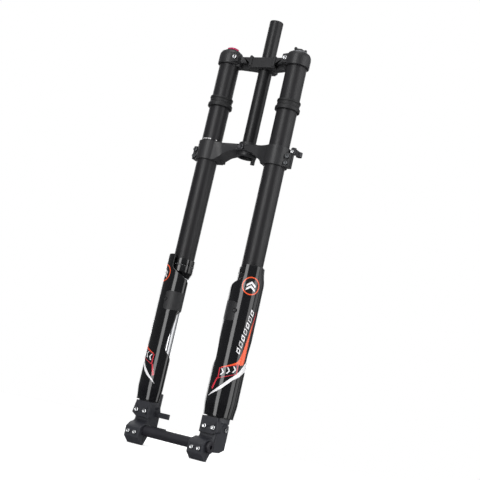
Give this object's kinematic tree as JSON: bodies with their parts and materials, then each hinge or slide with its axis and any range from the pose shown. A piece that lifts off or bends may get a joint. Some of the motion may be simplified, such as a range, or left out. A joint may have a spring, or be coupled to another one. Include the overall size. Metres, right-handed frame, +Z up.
{
  "type": "suspension fork",
  "caption": "Inverted dual-crown bicycle suspension fork with a long steerer, sliding stanchions behind open-backed guards, and cast dropouts that clamp a thru axle.",
  "frame": {"origin": "on the steerer's axis at the crown race seat, the top of the lower crown's boss", "axes": "+Z up the steerer, -Y to the fork's front (the way the bicycle travels), +X to the rider's left"},
  "size_m": [0.2307, 0.0975, 0.9005],
  "materials": {
    "tube_black": "satin anodised",
    "crown_black": "satin anodised",
    "casting_black": "satin painted casting",
    "gloss_black": "gloss",
    "rubber_black": "matte",
    "cap_black": "satin anodised",
    "cap_grey": "satin machined",
    "bolt_steel": "bright zinc",
    "bolt_grey": "grey zinc",
    "bolt_black": "black oxide",
    "stanchion_chrome": "polished",
    "inner_alloy": "machined",
    "bushing_bronze": "sintered",
    "spring_steel": "dark spring steel",
    "knob_red": "red anodised",
    "lever_black": "satin anodised",
    "axle_black": "satin anodised"
  },
  "bodies": {
    "chassis": {"bumper_ring_left": "rubber_black", "bumper_ring_right": "rubber_black", "crown_centre_bolt": "bolt_black", "damper_cartridge": "inner_alloy", "damper_seal_head": "bushing_bronze", "garter_spring_left": "stanchion_chrome", "garter_spring_right": "stanchion_chrome", "hose_guide": "crown_black", "hose_guide_bolt": "bolt_steel", "lower_bushing_left": "bushing_bronze", "lower_bushing_right": "bushing_bronze", "lower_crown": "crown_black", "lower_pinch_bolt_left_lower": "bolt_grey", "lower_pinch_bolt_left_upper": "bolt_grey", "lower_pinch_bolt_right_lower": "bolt_grey", "lower_pinch_bolt_right_upper": "bolt_grey", "main_spring": "spring_steel", "oil_seal_left": "rubber_black", "oil_seal_right": "rubber_black", "outer_tube_left": "tube_black", "outer_tube_right": "tube_black", "preload_spacer": "inner_alloy", "seal_head_left": "gloss_black", "seal_head_right": "gloss_black", "steerer_clamp_bolt_lower": "bolt_grey", "steerer_clamp_bolt_upper": "bolt_grey", "steerer_tube": "tube_black", "top_cap_left": "cap_grey", "top_cap_right": "cap_black", "upper_crown": "crown_black", "upper_pinch_bolt_left": "bolt_steel", "upper_pinch_bolt_right": "bolt_steel"},
    "lower_assembly": {"axle_clamp_bolt_left_inner": "bolt_steel", "axle_clamp_bolt_left_outer": "bolt_steel", "axle_clamp_bolt_right_inner": "bolt_steel", "axle_clamp_bolt_right_outer": "bolt_steel", "boss_bolt_left_inner": "bolt_steel", "boss_bolt_left_outer": "bolt_steel", "boss_bolt_right_inner": "bolt_steel", "boss_bolt_right_outer": "bolt_steel", "caliper_bolt": "bolt_steel", "damper_piston": "bushing_bronze", "damper_rod": "stanchion_chrome", "dropout_left": "casting_black", "dropout_right": "casting_black", "foot_bolt_left": "bolt_steel", "foot_bolt_right": "bolt_steel", "guard_left": "gloss_black", "guard_right": "gloss_black", "spring_perch": "inner_alloy", "stanchion_left": "stanchion_chrome", "stanchion_right": "stanchion_chrome", "upper_bushing_left": "bushing_bronze", "upper_bushing_right": "bushing_bronze"},
    "preload_knob": {"preload_knob": "knob_red"},
    "compression_lever": {"compression_lever": "lever_black"},
    "thru_axle": {"thru_axle": "axle_black"}
  },
  "joints": [
    {"name": "fork_travel", "type": "slide", "parent": "chassis", "child": "lower_assembly", "axis": [0, 0, 1], "range_m": [0, 0.18], "stiffness_N_per_m": 6000, "springref_m": -0.02, "deforming": ["main_spring"]},
    {"name": "preload_turn", "type": "hinge", "parent": "chassis", "child": "preload_knob", "pos_m": [-0.0785, -0.0165, 0.1985], "axis": [0, 0, 1], "range_deg": [-360, 360]},
    {"name": "compression_turn", "type": "hinge", "parent": "chassis", "child": "compression_lever", "pos_m": [0.0785, -0.0165, 0.1988], "axis": [0, 0, 1], "range_deg": [0, 90]},
    {"name": "axle_pull", "type": "slide", "parent": "lower_assembly", "child": "thru_axle", "axis": [1, 0, 0], "range_m": [0, 0.14]}
  ]
}
